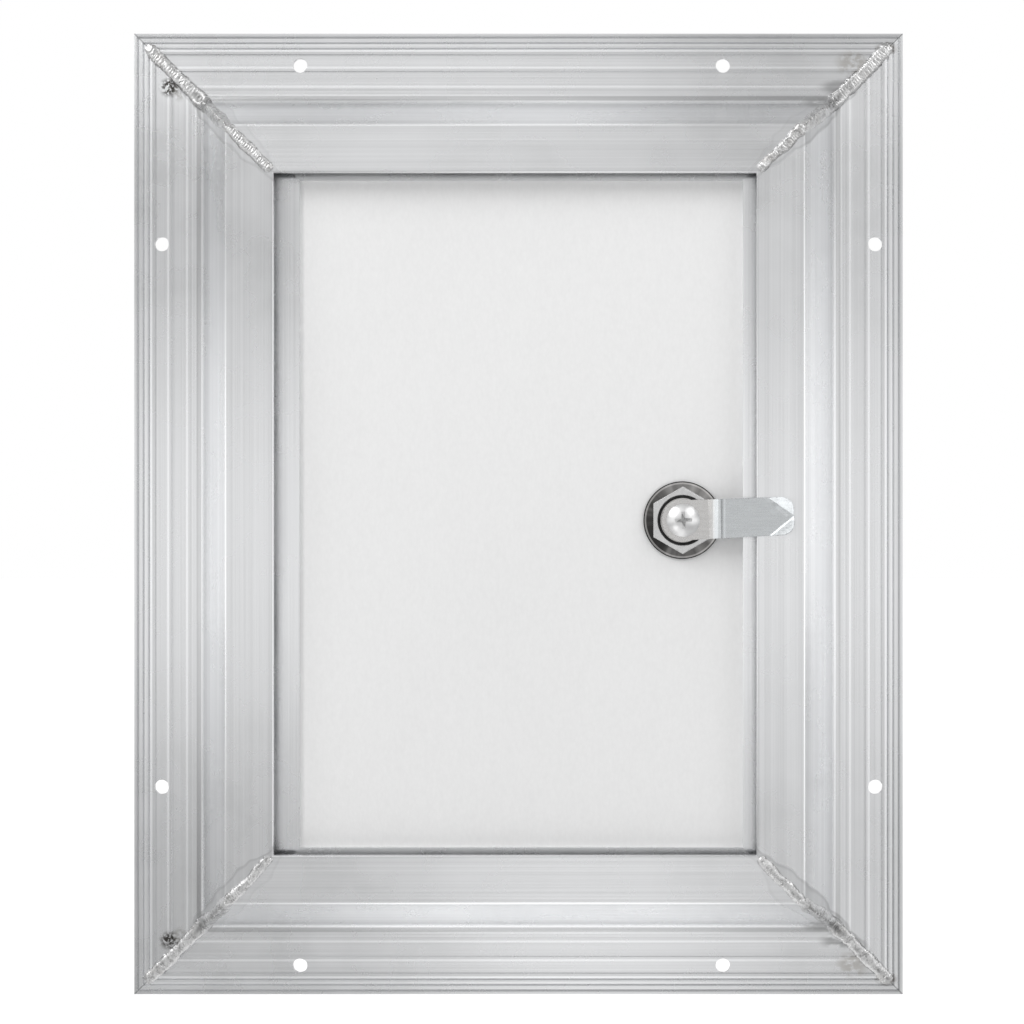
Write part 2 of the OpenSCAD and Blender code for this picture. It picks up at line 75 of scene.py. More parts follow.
def remap(mat, value, fromLow, fromHigh, toLow, toHigh, smooth=False):
    kind = "SMOOTHSTEP" if smooth else "LINEAR"
    return addNode(mat, "MapRange", {
        "Value": value, "From Min": fromLow, "From Max": fromHigh, "To Min": toLow, "To Max": toHigh,
    }, interpolation_type=kind).outputs["Result"]


# 0 outside the first and last of four edges, 1 between the middle two
def window(mat, value, edges):
    rise = remap(mat, value, edges[0], edges[1], 0.0, 1.0, True)
    return calc(mat, "MULTIPLY", rise, remap(mat, value, edges[2], edges[3], 1.0, 0.0, True))


def blendColour(mat, factor, first, second, how="MIX"):
    return addNode(mat, "Mix", {0: factor, 6: first, 7: second}, data_type="RGBA", blend_type=how).outputs[2]


def stretchedNoise(mat, coords, scale, detail=2.0, roughness=0.5):
    mapped = addNode(mat, "Mapping", {"Vector": coords, "Scale": scale}).outputs[0]
    return addNode(mat, "TexNoise", {
        "Vector": mapped, "Scale": 1.0, "Detail": detail, "Roughness": roughness,
    }).outputs["Fac"]


def startMaterial(name, fixed):
    mat = bpy.data.materials.new(name)
    mat.use_nodes = True
    shader = mat.node_tree.nodes["Principled BSDF"]
    for socket, value in fixed.items():
        shader.inputs[socket].default_value = value
    coords = mat.node_tree.nodes.new("ShaderNodeTexCoord").outputs["Object"]
    return mat, shader, coords


def plug(mat, value, shader, socket):
    mat.node_tree.links.new(value, shader.inputs[socket])


def grey(level, warm=0.0):
    return (level + warm, level, level - warm, 1.0)


def dress(mat, *names):
    for name in names:
        mesh = nodes[name].data
        mesh.materials.clear()
        mesh.materials.append(mat)


# The drawn aluminium of the wall frame and of the leaf's edge rails

drawnMetal = {
    "tone": 0.80,
    "red": 0.992, "blue": 1.012,  # shares of the tone, for a slightly cool metal
    "roughness": 0.27,
    "anisotropy": 0.8,
    "lineWidth": 0.0007,  # spacing of the fine lines that the die leaves
    "lineLength": 0.25,
    "lineContrast": 0.05,
    "bandWidth": 0.004,
    "bandContrast": 0.03,
    "hazeContrast": 0.015,
    "brightest": 0.98,
    "lean": 0.03,
    "zoneReach": 0.0056,  # smooth zone beside a weld, from the mitre
    "zoneWobble": 0.0013,
    "zoneTone": 0.84,
    "zoneRim": 0.20,
    "seamWidth": 0.00016,  # the open mitre line outside the beads
}


# Painted highlights along the section's rib edges and shoulder, and painted shade beside them and in the cove,
# along a member: distance in, half width, and change of tone
ribLightsAndShades = (
    (0.0013, 0.0010, -0.14), (0.00365, 0.0004, -0.10), (0.0046, 0.0004, 0.12), (0.00585, 0.0004, -0.10),
    (0.0067, 0.0006, 0.32), (0.0080, 0.0011, -0.12), (0.0134, 0.0006, 0.30), (0.0148, 0.0011, -0.06),
    (0.0209, 0.0006, 0.32), (0.0223, 0.0005, -0.06), (0.0231, 0.0003, 0.05), (0.0258, 0.0014, -0.36),
    (0.0275, 0.0012, 0.12), (0.0352, 0.0058, 0.13), (0.0417, 0.0006, 0.14), (0.0597, 0.0007, -0.08),
)


def ribLightAndShade(mat, inward):
    total = 0.0
    for place, half, change in ribLightsAndShades:
        away = calc(mat, "ABSOLUTE", calc(mat, "SUBTRACT", inward, place))
        total = calc(mat, "ADD", remap(mat, away, half * 0.45, half, change, 0.0, True), total)
    return total


def drawnAluminium(name, along, tone, zoneShare=None):
    look = drawnMetal
    mat, shader, coords = startMaterial(name, {"Metallic": 1.0, "Anisotropic": look["anisotropy"]})
    across = 1 / look["lineWidth"]
    lengthwise = 1 / look["lineLength"]
    lineScale = (lengthwise, across, across) if along == "x" else (across, across, lengthwise)
    band = 1 / look["bandWidth"]
    bandScale = (lengthwise / 2, band, band) if along == "x" else (band, band, lengthwise / 2)
    lines = stretchedNoise(mat, coords, lineScale, 3.0, 0.6)
    bands = stretchedNoise(mat, coords, bandScale, 2.0, 0.5)
    haze = stretchedNoise(mat, coords, (35, 35, 35), 4.0, 0.6)
    level = calc(mat, "ADD",
                 remap(mat, lines, 0.25, 0.75, -look["lineContrast"], look["lineContrast"]),
                 remap(mat, bands, 0.3, 0.7, -look["bandContrast"], look["bandContrast"]))
    level = calc(mat, "ADD", level, remap(mat, haze, 0.3, 0.7, -look["hazeContrast"], look["hazeContrast"]))
    level = calc(mat, "ADD", level, tone)
    if zoneShare is not None:
        inward = edgeDistance(mat, coords)["side" if along == "z" else "end"]
        # painted highlights and painted shade along the ribs, on the faces that look in
        paintedRibLight = calc(mat, "MULTIPLY", ribLightAndShade(mat, inward), facingIn(mat))
        level = calc(mat, "MULTIPLY", level, calc(mat, "ADD", 1.0, paintedRibLight))
        level = calc(mat, "MINIMUM", level, look["brightest"])
    colour = addNode(mat, "CombineColor", {
        "Red": calc(mat, "MULTIPLY", level, look["red"]),
        "Green": level,
        "Blue": calc(mat, "MULTIPLY", level, look["blue"]),
    }).outputs[0]
    rough = remap(mat, haze, 0.3, 0.7, look["roughness"] - 0.03, look["roughness"] + 0.04)
    if zoneShare is not None:
        colour, rough = weldHeat(mat, coords, colour, rough, zoneShare)
    plug(mat, colour, shader, "Base Color")
    plug(mat, rough, shader, "Roughness")
    # normals lean a little into the room, so that the grooves' steep walls don't mirror themselves black
    leaned = addNode(mat, "VectorMath", {
        0: addNode(mat, "NewGeometry").outputs["Normal"], 1: (0, -look["lean"], 0),
    }, operation="ADD").outputs["Vector"]
    plug(mat, addNode(mat, "VectorMath", {0: leaned}, operation="NORMALIZE").outputs["Vector"],
         shader, "Normal")
    # the blur of a highlight runs across the lines
    tangent = addNode(mat, "CombineXYZ", {"Z": 1.0} if along == "x" else {"X": 1.0})
    world = addNode(mat, "VectorTransform", {"Vector": tangent.outputs[0]},
                    vector_type="VECTOR", convert_from="OBJECT", convert_to="WORLD").outputs[0]
    plug(mat, world, shader, "Tangent")
    return mat


# 1 on the faces that look into the caravan, where the lines and marks of the photo lie
def facingIn(mat):
    outwards = addNode(mat, "SeparateXYZ", {"Vector": addNode(mat, "NewGeometry").outputs["True Normal"]})
    return remap(mat, outwards.outputs["Y"], 0.02, 0.3, 1.0, 0.0)


# distances in from the frame's nearer side and nearer end
def edgeDistance(mat, coords):
    xyz = addNode(mat, "SeparateXYZ", {"Vector": coords})
    offMiddle = calc(mat, "SUBTRACT", xyz.outputs["Z"], midHeight)
    return {
        "x": xyz.outputs["X"],
        "side": calc(mat, "SUBTRACT", halfWidth, calc(mat, "ABSOLUTE", xyz.outputs["X"])),
        "end": calc(mat, "SUBTRACT", height / 2, calc(mat, "ABSOLUTE", offMiddle)),
    }


# smooth zones beside the beads with a thin dark rim, then the soot and the brown tint near their ends
def weldHeat(mat, coords, colour, rough, zoneShare):
    look = drawnMetal
    places = edgeDistance(mat, coords)
    fromSide, fromEnd = places["side"], places["end"]
    fromMitre = calc(mat, "MULTIPLY", calc(mat, "ABSOLUTE", calc(mat, "SUBTRACT", fromSide, fromEnd)), 0.7071)
    inward = calc(mat, "MINIMUM", fromSide, fromEnd)
    # noise that hardly changes in depth, so a zone's edge runs on over the slope
    wobble = stretchedNoise(mat, coords, (110, 20, 110), 1.0, 0.4)
    edge = calc(mat, "ADD", fromMitre, remap(mat, wobble, 0.3, 0.7, -look["zoneWobble"], look["zoneWobble"]))
    facing = facingIn(mat)
    started = calc(mat, "MULTIPLY", remap(mat, inward, 0.010, 0.018, 0.0, zoneShare, True), facing)
    # the zone is narrower at the bead's two ends
    narrower = calc(mat, "ADD", remap(mat, inward, 0.016, 0.034, 0.0024, 0.0, True),
                    remap(mat, inward, 0.045, 0.060, 0.0, 0.0030, True))
    beyond = calc(mat, "SUBTRACT", calc(mat, "ADD", edge, narrower), look["zoneReach"])
    zone = calc(mat, "MULTIPLY", remap(mat, beyond, -0.0006, 0.0003, 1.0, 0.0, True), started)
    rim = calc(mat, "MULTIPLY", started, window(mat, beyond, (-0.0014, -0.0005, -0.0003, 0.0004)))
    colour = blendColour(mat, calc(mat, "MULTIPLY", zone, 1 - look["zoneTone"]), colour, grey(0.0))
    colour = blendColour(mat, calc(mat, "MULTIPLY", rim, look["zoneRim"]), colour, grey(0.2))
    rough = calc(mat, "ADD", rough, calc(mat, "MULTIPLY", zone, 0.10))
    seam = calc(mat, "MULTIPLY",
                remap(mat, fromMitre, look["seamWidth"] * 0.5, look["seamWidth"], 1.0, 0.0, True),
                remap(mat, inward, 0.0075, 0.0085, 1.0, 0.0, True))
    colour = blendColour(mat, calc(mat, "MULTIPLY", seam, 0.8), colour, grey(0.06))
    for mark in weldMarks:
        near = addNode(mat, "CombineXYZ", {
            "X": calc(mat, "MULTIPLY", calc(mat, "SUBTRACT", places["x"], mark["x"]), 1 / mark["stretch"]),
            "Z": calc(mat, "SUBTRACT", fromEnd, mark["fromEnd"]),
        }).outputs[0]
        distance = addNode(mat, "VectorMath", {0: near}, operation="LENGTH").outputs["Value"]
        grain = mark["grain"]
        patch = stretchedNoise(mat, coords, (grain / mark["stretch"], grain, grain), 4.0, 0.6)
        mask = calc(mat, "MULTIPLY",
                    remap(mat, distance, mark["radius"] * 0.35, mark["radius"], 1.0, 0.0, True),
                    remap(mat, patch, mark["cover"], mark["cover"] + 0.12, 0.0, mark["strength"], True))
        mask = calc(mat, "MULTIPLY", mask, facing)
        colour = blendColour(mat, mask, colour, mark["colour"])
        rough = calc(mat, "ADD", rough, calc(mat, "MULTIPLY", mask, 0.25))
    return colour, rough


# Soot and stains that the welding left; a place is the distance from the middle and from the nearer end
weldMarks = (
    {"x": -0.1386, "fromEnd": 0.0212, "radius": 0.0050, "stretch": 1.0,
     "grain": 700, "cover": 0.40, "strength": 0.95, "colour": (0.035, 0.03, 0.025, 1.0)},
    {"x": -0.1345, "fromEnd": 0.0235, "radius": 0.0040, "stretch": 1.0,
     "grain": 300, "cover": 0.42, "strength": 0.50, "colour": (0.22, 0.21, 0.19, 1.0)},
    {"x": 0.1325, "fromEnd": 0.0117, "radius": 0.0065, "stretch": 1.3,
     "grain": 220, "cover": 0.40, "strength": 0.45, "colour": (0.27, 0.24, 0.19, 1.0)},
    {"x": 0.1274, "fromEnd": 0.0212, "radius": 0.0042, "stretch": 2.4,
     "grain": 200, "cover": 0.36, "strength": 0.60, "colour": (0.22, 0.22, 0.22, 1.0)},
    {"x": 0.1185, "fromEnd": 0.0280, "radius": 0.0040, "stretch": 2.0,
     "grain": 200, "cover": 0.38, "strength": 0.50, "colour": (0.25, 0.25, 0.25, 1.0)},
    {"x": 0.1458, "fromEnd": 0.0060, "radius": 0.0030, "stretch": 1.8,
     "grain": 500, "cover": 0.38, "strength": 0.75, "colour": (0.13, 0.11, 0.09, 1.0)},
)

uprightMetal = drawnAluminium("drawnUpright", "z", drawnMetal["tone"], 1.0)
levelMetal = drawnAluminium("drawnLevel", "x", drawnMetal["tone"], 0.3)
# the leaf's rails are one aluminium at painted levels of light: lightest on the lock rail, darkest on the
# level rails
hingeRail = drawnAluminium("railHinge", "z", 0.87)
lockRail = drawnAluminium("railLock", "z", 0.95)
levelRail = drawnAluminium("railLevel", "x", 0.84)
dress(uprightMetal, "frame_left", "frame_right")
dress(levelMetal, "frame_top", "frame_bottom")
dress(hingeRail, "leaf_stile_hinge")
dress(lockRail, "leaf_stile_lock")
dress(levelRail, "leaf_rail_top", "leaf_rail_bottom")
print("drawn aluminium ready")


# The panel: a pebbled white inside skin, a smooth outside skin and the edge of the core

innerPanel = {"tone": 0.80, "pebble": 0.0011, "stretch": 1.8, "bump": 0.35, "depth": 0.00012}


def pebbledSkin():
    look = innerPanel
    mat, shader, coords = startMaterial("pebbledSkin", {"Roughness": 0.5, "Specular IOR Level": 0.4})
    fine = 1 / look["pebble"]
    pebbles = addNode(mat, "TexVoronoi", {
        "Vector": addNode(mat, "Mapping", {
            "Vector": coords, "Scale": (fine, fine, fine / look["stretch"]),
        }).outputs[0], "Scale": 1.0,
    }, feature="F1").outputs["Distance"]
    creases = stretchedNoise(mat, coords, (fine * 0.6, fine * 0.6, fine * 0.25), 4.0, 0.6)
    broad = stretchedNoise(mat, coords, (14, 14, 9), 3.0, 0.5)
    relief = calc(mat, "ADD", calc(mat, "MULTIPLY", pebbles, 0.5), creases)
    bump = addNode(mat, "Bump", {
        "Strength": look["bump"], "Distance": look["depth"], "Height": relief,
    }).outputs[0]
    level = calc(mat, "ADD",
                 remap(mat, relief, 0.4, 1.1, 0.012, -0.02),
                 remap(mat, broad, 0.3, 0.7, -0.008, 0.008))
    level = calc(mat, "ADD", level, look["tone"])
    colour = addNode(mat, "CombineColor", {"Red": level, "Green": level, "Blue": level}).outputs[0]
    plug(mat, colour, shader, "Base Color")
    plug(mat, bump, shader, "Normal")
    return mat


def smoothSkin():
    mat, shader, coords = startMaterial("smoothSkin", {"Roughness": 0.22, "Coat Weight": 0.3})
    ripple = stretchedNoise(mat, coords, (60, 60, 60), 2.0, 0.5)
    level = remap(mat, stretchedNoise(mat, coords, (9, 9, 9), 3.0, 0.5), 0.3, 0.7, 0.80, 0.83)
    plug(mat, addNode(mat, "CombineColor", {"Red": level, "Green": level, "Blue": level}).outputs[0],
         shader, "Base Color")
    plug(mat, addNode(mat, "Bump", {"Strength": 0.05, "Distance": 0.0005, "Height": ripple}).outputs[0],
         shader, "Normal")
    return mat


def plainCore():
    mat, shader, coords = startMaterial("coreWood", {"Roughness": 0.75})
    grain = stretchedNoise(mat, coords, (12, 1400, 300), 4.0, 0.6)
    streaks = remap(mat, grain, 0.35, 0.65, 0.0, 1.0)
    plug(mat, blendColour(mat, streaks, (0.50, 0.36, 0.20, 1), (0.70, 0.55, 0.34, 1)), shader, "Base Color")
    plug(mat, addNode(mat, "Bump", {"Strength": 0.3, "Distance": 0.0002, "Height": grain}).outputs[0],
         shader, "Normal")
    return mat


dress(pebbledSkin(), "inner_skin")
dress(smoothSkin(), "outer_skin")
dress(plainCore(), "core")
print("panel ready")


# Rubber and the hardware's metals

def sealRubber():
    mat, shader, coords = startMaterial("sealRubber", {"Roughness": 0.6, "Specular IOR Level": 0.3})
    dust = stretchedNoise(mat, coords, (220, 220, 220), 4.0, 0.6)
    dusty = remap(mat, dust, 0.45, 0.75, 0.0, 0.5)
    plug(mat, blendColour(mat, dusty, grey(0.02), grey(0.07)), shader, "Base Color")
    plug(mat, addNode(mat, "Bump", {"Strength": 0.2, "Distance": 0.0002, "Height": dust}).outputs[0],
         shader, "Normal")
    return mat


def platedSteel(name, tone, roughness, grainScale, contrast, edgeRadius=0.0002, warm=0.0):
    mat, shader, coords = startMaterial(name, {"Metallic": 1.0})
    grain = stretchedNoise(mat, coords, grainScale, 4.0, 0.6)
    clouds = stretchedNoise(mat, coords, (160, 160, 160), 3.0, 0.5)
    colour = blendColour(mat, remap(mat, grain, 0.3, 0.7, 0.0, 1.0),
                         grey(tone - contrast, warm), grey(tone + contrast, warm))
    plug(mat, colour, shader, "Base Color")
    plug(mat, remap(mat, clouds, 0.3, 0.7, roughness - 0.05, roughness + 0.06), shader, "Roughness")
    rounded = addNode(mat, "Bevel", {"Radius": edgeRadius}, samples=4).outputs[0]
    plug(mat, addNode(mat, "Bump", {
        "Strength": 0.25, "Distance": 0.00003, "Height": grain, "Normal": rounded,
    }).outputs[0], shader, "Normal")
    return mat


washerLook = {
    "dark": 0.045, "light": 0.48,
    "shineSide": (0.90, 0.30),  # towards the painted reflection's lightest side
    "rimShadowWidth": 0.00045, "rimHighlightWidth": 0.0011,  # widths of the painted rim shadow and the painted rim highlight, in from the outer edge
}


# fine rings round the lock's axis fan the highlight out; the colour also holds a painted reflection, lighter
# towards one side with painted streaks, a painted highlight just in from the rim and a painted shadow at the
# rim
def turnedSteel():
    look = washerLook
    mat, shader, coords = startMaterial("turnedSteel", {
        "Metallic": 1.0, "Anisotropic": 0.7, "Roughness": 0.3,
    })
    centred = addNode(mat, "Mapping", {
        "Vector": coords, "Location": (-lockCentre.x, 0, -lockCentre.z),
    }).outputs[0]
    xyz = addNode(mat, "SeparateXYZ", {"Vector": centred})
    flat = addNode(mat, "CombineXYZ", {"X": xyz.outputs["X"], "Z": xyz.outputs["Z"]}).outputs[0]
    radius = addNode(mat, "VectorMath", {0: flat}, operation="LENGTH").outputs["Value"]
    outwards = addNode(mat, "VectorMath", {0: flat}, operation="NORMALIZE").outputs["Vector"]
    rings = addNode(mat, "TexNoise", {
        "Vector": addNode(mat, "CombineXYZ", {"X": calc(mat, "MULTIPLY", radius, 4200.0)}).outputs[0],
        "Scale": 1.0, "Detail": 3.0,
    }).outputs["Fac"]
    shineStreaks = addNode(mat, "TexNoise", {
        "Vector": outwards, "Scale": 1.9, "Detail": 3.0, "Roughness": 0.5,
    }).outputs["Fac"]
    turned = addNode(mat, "VectorMath", {
        0: outwards, 1: (look["shineSide"][0], 0, look["shineSide"][1]),
    }, operation="DOT_PRODUCT").outputs["Value"]
    # painted reflection: lighter towards one side, broken into painted streaks
    paintedShine = calc(mat, "ADD", calc(mat, "MULTIPLY", turned, 0.5), remap(mat, shineStreaks, 0.3, 0.7, -0.45, 0.45))
    paintedShine = calc(mat, "ADD", paintedShine, remap(mat, rings, 0.3, 0.7, -0.06, 0.06))
    tone = remap(mat, paintedShine, -0.55, 0.75, look["dark"], look["light"], True)
    fromRim = calc(mat, "SUBTRACT", (washerBox[1][0] - washerBox[0][0]) / 2, radius)
    # painted highlight just in from the rim, and painted shadow at the rim itself
    paintedRimHighlight = remap(mat, fromRim, look["rimHighlightWidth"] - 0.0001, look["rimHighlightWidth"], 1.0, 0.0)
    tone = calc(mat, "ADD", tone, calc(mat, "MULTIPLY", paintedRimHighlight, 0.25))
    paintedRimShadow = remap(mat, fromRim, look["rimShadowWidth"] - 0.0001, look["rimShadowWidth"], 0.05, 1.0)
    tone = calc(mat, "MULTIPLY", tone, paintedRimShadow)
    plug(mat, addNode(mat, "CombineColor", {
        "Red": calc(mat, "MULTIPLY", tone, 1.02), "Green": tone, "Blue": calc(mat, "MULTIPLY", tone, 0.98),
    }).outputs[0], shader, "Base Color")
    rounded = addNode(mat, "Bevel", {"Radius": 0.0002}, samples=4).outputs[0]
    plug(mat, addNode(mat, "Bump", {
        "Strength": 0.3, "Distance": 0.00002, "Height": rings, "Normal": rounded,
    }).outputs[0], shader, "Normal")
    # outwards from the centre, which is across the rings
    plug(mat, addNode(mat, "VectorTransform", {"Vector": flat}, vector_type="VECTOR",
                      convert_from="OBJECT", convert_to="WORLD").outputs[0], shader, "Tangent")
    return mat


camLook = {
    "tone": 0.62, "roughness": 0.27,
    "foldHighlight": (0.0112, 0.0134), "foldShade": (0.0141, 0.0150), "foldSecondHighlight": (0.0152, 0.0161),
    "hubEnd": 0.0105,
    "rampStart": 0.0405, "rampSlant": 1.21,  # the tip's two ground corners
}


# brushed zinc: warm on the hub, cool along the arm, with painted highlights and painted shade over the fold
# and on the tip's ground corners
def brushedCam():
    look = camLook
    mat, shader, coords = startMaterial("zincCam", {"Metallic": 1.0})
    brushed = stretchedNoise(mat, coords, (160, 160, 3600), 4.0, 0.65)
    mottled = stretchedNoise(mat, coords, (420, 420, 420), 4.0, 0.6)
    xyz = addNode(mat, "SeparateXYZ", {"Vector": coords})
    along = calc(mat, "SUBTRACT", xyz.outputs["X"], lockCentre.x)
    under = calc(mat, "SUBTRACT", lockCentre.z, xyz.outputs["Z"])
    tone = calc(mat, "ADD", look["tone"], remap(mat, brushed, 0.3, 0.7, -0.05, 0.05))
    tone = calc(mat, "ADD", tone, remap(mat, mottled, 0.3, 0.7, -0.025, 0.025))
    # painted highlight on the fold's web, painted shade after it, then a second painted highlight
    for band, change in ((look["foldHighlight"], 0.22), (look["foldShade"], -0.22), (look["foldSecondHighlight"], 0.12)):
        inside = window(mat, along, (band[0], band[0] + 0.0003, band[1] - 0.0003, band[1]))
        tone = calc(mat, "ADD", tone, calc(mat, "MULTIPLY", inside, change))
    # the tip's upper ground corner painted lighter and the lower one painted darker, with mottling
    slanted = calc(mat, "ADD", along, calc(mat, "MULTIPLY", calc(mat, "ABSOLUTE", under), look["rampSlant"]))
    ground = remap(mat, slanted, look["rampStart"], look["rampStart"] + 0.0004, 0.0, 1.0)
    change = calc(mat, "ADD", remap(mat, under, -0.0003, 0.0003, 0.06, -0.20),
                  remap(mat, mottled, 0.35, 0.65, -0.10, 0.06))
    tone = calc(mat, "ADD", tone, calc(mat, "MULTIPLY", ground, change))
    cool = remap(mat, along, look["hubEnd"], look["hubEnd"] + 0.002, 0.0, 1.0, True)
    plug(mat, addNode(mat, "CombineColor", {
        "Red": calc(mat, "MULTIPLY", tone, remap(mat, cool, 0.0, 1.0, 1.015, 0.965)),
        "Green": tone,
        "Blue": calc(mat, "MULTIPLY", tone, remap(mat, cool, 0.0, 1.0, 0.985, 1.02)),
    }).outputs[0], shader, "Base Color")
    plug(mat, remap(mat, mottled, 0.3, 0.7, look["roughness"] - 0.05, look["roughness"] + 0.06),
         shader, "Roughness")
    rounded = addNode(mat, "Bevel", {"Radius": 0.0003}, samples=4).outputs[0]
    plug(mat, addNode(mat, "Bump", {
        "Strength": 0.3, "Distance": 0.00003, "Height": brushed, "Normal": rounded,
    }).outputs[0], shader, "Normal")
    return mat


screwLook = {"tone": 0.74, "armHalf": 0.00075, "armReach": 0.0026, "turn": 12, "recessShade": 0.40}


# a domed head whose cross recess is scratched, with painted shade inside the recess
def crossHead():
    look = screwLook
    mat, shader, coords = startMaterial("crossHead", {"Metallic": 1.0})
    low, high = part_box("cam_screw")
    centred = addNode(mat, "Mapping", {
        "Vector": coords, "Location": (-(low[0] + high[0]) / 2, 0, -(low[2] + high[2]) / 2),
    }).outputs[0]
    turned = addNode(mat, "Mapping", {
        "Vector": centred, "Rotation": (0, math.radians(look["turn"]), 0),
    }).outputs[0]
    xyz = addNode(mat, "SeparateXYZ", {"Vector": turned})
    across = calc(mat, "ABSOLUTE", xyz.outputs["X"])
    upwards = calc(mat, "ABSOLUTE", xyz.outputs["Z"])
    half, reach = look["armHalf"], look["armReach"]
    # each arm narrows towards its end
    levelArm = calc(mat, "ADD", upwards, calc(mat, "MULTIPLY", across, half / reach))
    uprightArm = calc(mat, "ADD", across, calc(mat, "MULTIPLY", upwards, half / reach))
    cross = remap(mat, calc(mat, "MINIMUM", levelArm, uprightArm), half, half + 0.00025, 1.0, 0.0, True)
    inReach = remap(mat, calc(mat, "MAXIMUM", across, upwards), reach - 0.0003, reach, 1.0, 0.0, True)
    cross = calc(mat, "MULTIPLY", cross, inReach)
    scratches = stretchedNoise(mat, coords, (1500, 1500, 600), 5.0, 0.7)
    # painted shade in the cross recess, broken up by scratches
    shadedRecess = calc(mat, "MULTIPLY", cross, remap(mat, scratches, 0.35, 0.65, 0.35, 1.0))
    dome, recessShadeColour = grey(look["tone"]), grey(look["tone"] * look["recessShade"])
    plug(mat, blendColour(mat, shadedRecess, dome, recessShadeColour), shader, "Base Color")
    plug(mat, remap(mat, scratches, 0.3, 0.7, 0.30, 0.40), shader, "Roughness")
    rounded = addNode(mat, "Bevel", {"Radius": 0.00025}, samples=4).outputs[0]
    relief = calc(mat, "SUBTRACT", calc(mat, "MULTIPLY", scratches, 0.10), shadedRecess)
    plug(mat, addNode(mat, "Bump", {
        "Strength": 0.6, "Distance": 0.0003, "Height": relief, "Normal": rounded,
    }).outputs[0], shader, "Normal")
    return mat


hingeSteel = platedSteel("hingeSteel", 0.60, 0.34, (900, 900, 12), 0.04)
zincNut = platedSteel("zincNut", 0.67, 0.24, (500, 500, 500), 0.04, 0.0006)
nickelPlate = platedSteel("nickelPlate", 0.62, 0.22, (900, 900, 900), 0.03, 0.0003, 0.012)
dress(sealRubber(), "seal_top", "seal_bottom", "seal_left", "seal_right")
dress(hingeSteel, "hinge_plate_frame", "hinge_plate_leaf", "hinge_pin")
dress(turnedSteel(), "lock_washer")
dress(zincNut, "lock_nut")
dress(crossHead(), "cam_screw")
dress(brushedCam(), "cam")
dress(nickelPlate, "lock_barrel", "lock_plug")
print("hardware metals ready")


# Weld beads: each one a closed tube laid along its mitre, with crescent ripples on its back

beadSizes = {
    "start": 0.0050,  # in from the outer edges
    "end": 0.0592,
    "halfWidth": 0.0028,
    "endHalfWidth": 0.0021,
    "height": 0.0013,
    "ripplePitch": 0.00160,
    "rippleDepth": 0.40,
    "crescent": 2.2,  # how far a ripple's middle runs ahead of its ends, in pitches
    "crater": 0.0262,
    "craterReach": 0.0026,
    "rings": 640,
    "around": 30,
    "wander": 0.0006,  # of the whole bead from side to side
    "fineWander": 0.0003,
    "ragged": 0.00022,  # of the toes
    "lumps": 0.00012,
    "creaseDepth": 0.00022,
    "sunk": 0.00012,  # under the face that it lies on
    "toeDrop": 0.00055,
}


def beadMetal():
    mat, shader, coords = startMaterial("beadMetal", {"Metallic": 1.0})
    frost = stretchedNoise(mat, coords, (420, 420, 420), 3.0, 0.5)
    stain = stretchedNoise(mat, coords, (130, 130, 130), 4.0, 0.6)
    fold = addNode(mat, "Attribute", attribute_name="fold").outputs["Fac"]
    colour = blendColour(mat, remap(mat, frost, 0.3, 0.7, 0.0, 1.0), grey(0.54), grey(0.70))
    colour = blendColour(mat, remap(mat, stain, 0.54, 0.68, 0.0, 0.35), colour, (0.34, 0.32, 0.30, 1.0))
    # painted shade in the creases, ripple troughs and crater, at the toes and underneath
    colour = blendColour(mat, calc(mat, "MULTIPLY", fold, 0.78), colour, grey(0.10))
    plug(mat, colour, shader, "Base Color")
    plug(mat, remap(mat, frost, 0.3, 0.7, 0.22, 0.36), shader, "Roughness")
    plug(mat, addNode(mat, "Bump", {"Strength": 0.2, "Distance": 0.00006, "Height": frost}).outputs[0],
         shader, "Normal")
    return mat


# The frame's section behind the bearing face, as distance in and depth
section = {
    "slopeFoot": 0.027, "shoulderIn": 0.0417, "depth": -wallFrame[0][1],
    "cove": 0.003,  # how far from the foot the cove starts
}


# depth of the frame's inside face at a distance in from the outer edge, with a soft cove and shoulder
def surfaceDepth(inward):
    foot, shoulder, depth = section["slopeFoot"], section["shoulderIn"], section["depth"]
    soft = section["cove"]
    if inward < foot - soft:
        return 0.0
    if inward > shoulder + 0.0006:
        return depth
    straight = (inward - foot) * depth / (shoulder - foot)
    if inward < foot + soft / 2:
        share = (inward - foot + soft) / (1.5 * soft)
        return share * share * (soft / 2) * depth / (shoulder - foot)
    return min(straight, depth)
